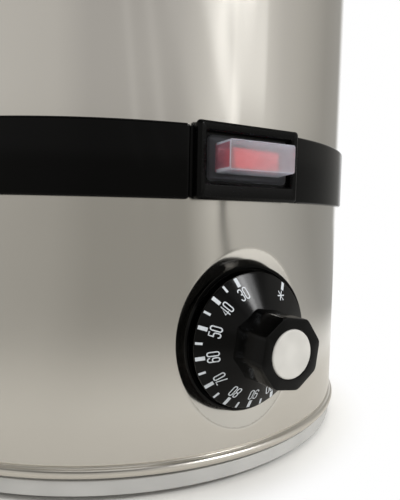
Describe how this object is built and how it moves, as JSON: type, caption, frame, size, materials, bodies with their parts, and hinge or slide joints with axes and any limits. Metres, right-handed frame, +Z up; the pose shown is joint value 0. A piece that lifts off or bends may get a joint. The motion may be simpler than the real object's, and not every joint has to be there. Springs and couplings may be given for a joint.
{
  "type": "heated drinks urn",
  "caption": "Round stainless drinks urn with lift-off lid, side handles, lever tap, black waist band, covered rocker switch and thermostat dial",
  "frame": {"origin": "on the table, under the tank's axis, at the undersides of the feet", "axes": "+Z up along the tank's axis, the tap faces -Y, the right handle points to +X"},
  "size_m": [0.393, 0.3734, 0.4423],
  "materials": {
    "satin_steel": "satin stainless sheet with fine polishing lines",
    "bright_steel": "bright plated steel",
    "chromed_brass": "chrome plated brass",
    "gloss_black": "glossy moulded black plastic",
    "black_phenolic": "polished black phenolic",
    "black_housing": "satin moulded black plastic",
    "grey_plastic": "matte grey plastic",
    "white_cap": "off-white moulded plastic",
    "red_rocker": "red moulded plastic",
    "milky_silicone": "milky translucent silicone",
    "clear_silicone": "pale silicone",
    "foot_rubber": "black rubber",
    "cast_aluminium": "cast aluminium",
    "element_steel": "heat-tinted steel tube",
    "brass": "plain brass",
    "copper": "copper tube",
    "cream_plastic": "cream thermoset plastic",
    "brown_wire": "brown silicone insulation",
    "blue_wire": "blue silicone insulation",
    "green_wire": "green and yellow silicone insulation"
  },
  "bodies": {
    "urn": {"tank_shell": "satin_steel", "tank_floor": "satin_steel", "handle_left": "black_phenolic", "handle_right": "black_phenolic", "handle_screws": "bright_steel", "handle_washers": "clear_silicone", "joint_ring": "black_phenolic", "waist_band": "gloss_black", "base_shell": "satin_steel", "base_skirt": "grey_plastic", "bottom_plate": "satin_steel", "bottom_screws": "bright_steel", "feet": "foot_rubber", "foot_screws": "bright_steel", "tie_rods": "bright_steel", "tie_nuts": "bright_steel", "heater_plate": "cast_aluminium", "heating_element": "element_steel", "sensing_bulbs": "brass", "bulb_clips": "bright_steel", "capillary_tubes": "copper", "thermostat": "cream_plastic", "thermostat_screws": "bright_steel", "dial_ring": "gloss_black", "switch_housing": "black_housing", "switch_body": "black_housing", "switch_blades": "brass", "splash_cover": "milky_silicone", "overheat_cutout": "black_phenolic", "tap_body": "chromed_brass", "tap_gasket_outer": "clear_silicone", "tap_gasket_inner": "clear_silicone", "tap_nut": "bright_steel", "tap_bonnet": "black_phenolic", "tap_spring": "bright_steel", "cord_gland": "black_housing", "gland_nut": "black_housing", "terminal_block": "cream_plastic", "earth_stud": "brass", "live_wires": "brown_wire", "neutral_wire": "blue_wire", "earth_wire": "green_wire"},
    "lid": {"lid": "satin_steel", "lid_knob": "black_phenolic", "lid_screw": "bright_steel", "lid_washer": "clear_silicone"},
    "dial": {"dial_knob": "black_phenolic", "dial_cap": "white_cap", "thermostat_shaft": "bright_steel", "knob_clip": "bright_steel"},
    "rocker": {"rocker": "red_rocker"},
    "valve_stem": {"tap_stem": "bright_steel", "valve_cup": "clear_silicone", "lever_pin": "bright_steel"},
    "lever": {"tap_lever": "black_phenolic"},
    "reset": {"reset_button": "red_rocker"}
  },
  "joints": [
    {"name": "lid_lift", "type": "slide", "parent": "urn", "child": "lid", "axis": [0, 0, 1], "range_m": [0, 0.15]},
    {"name": "dial_turn", "type": "hinge", "parent": "urn", "child": "dial", "pos_m": [0.1299, -0.075, 0.06955], "axis": [0.866, -0.5, 0], "range_deg": [-231, 31.5]},
    {"name": "rocker_tip", "type": "hinge", "parent": "urn", "child": "rocker", "pos_m": [0.12904, -0.0745, 0.1513], "axis": [0, 0, 1], "range_deg": [-24, 0]},
    {"name": "stem_lift", "type": "slide", "parent": "urn", "child": "valve_stem", "axis": [0, 0, 1], "range_m": [0, 0.004], "stiffness_N_per_m": 20, "springref_m": -0.004, "deforming": ["tap_spring"]},
    {"name": "lever_pull", "type": "hinge", "parent": "valve_stem", "child": "lever", "pos_m": [0, -0.192, 0.2413], "axis": [1, 0, 0], "range_deg": [0, 40]},
    {"name": "reset_push", "type": "slide", "parent": "urn", "child": "reset", "axis": [0, 0, 1], "range_m": [0, 0.0025], "stiffness_N_per_m": 600, "springref_m": -0.002}
  ],
  "couplings": [
    {"joint": "stem_lift", "follows": "lever_pull", "m_per_rad": 0.0057296}
  ]
}
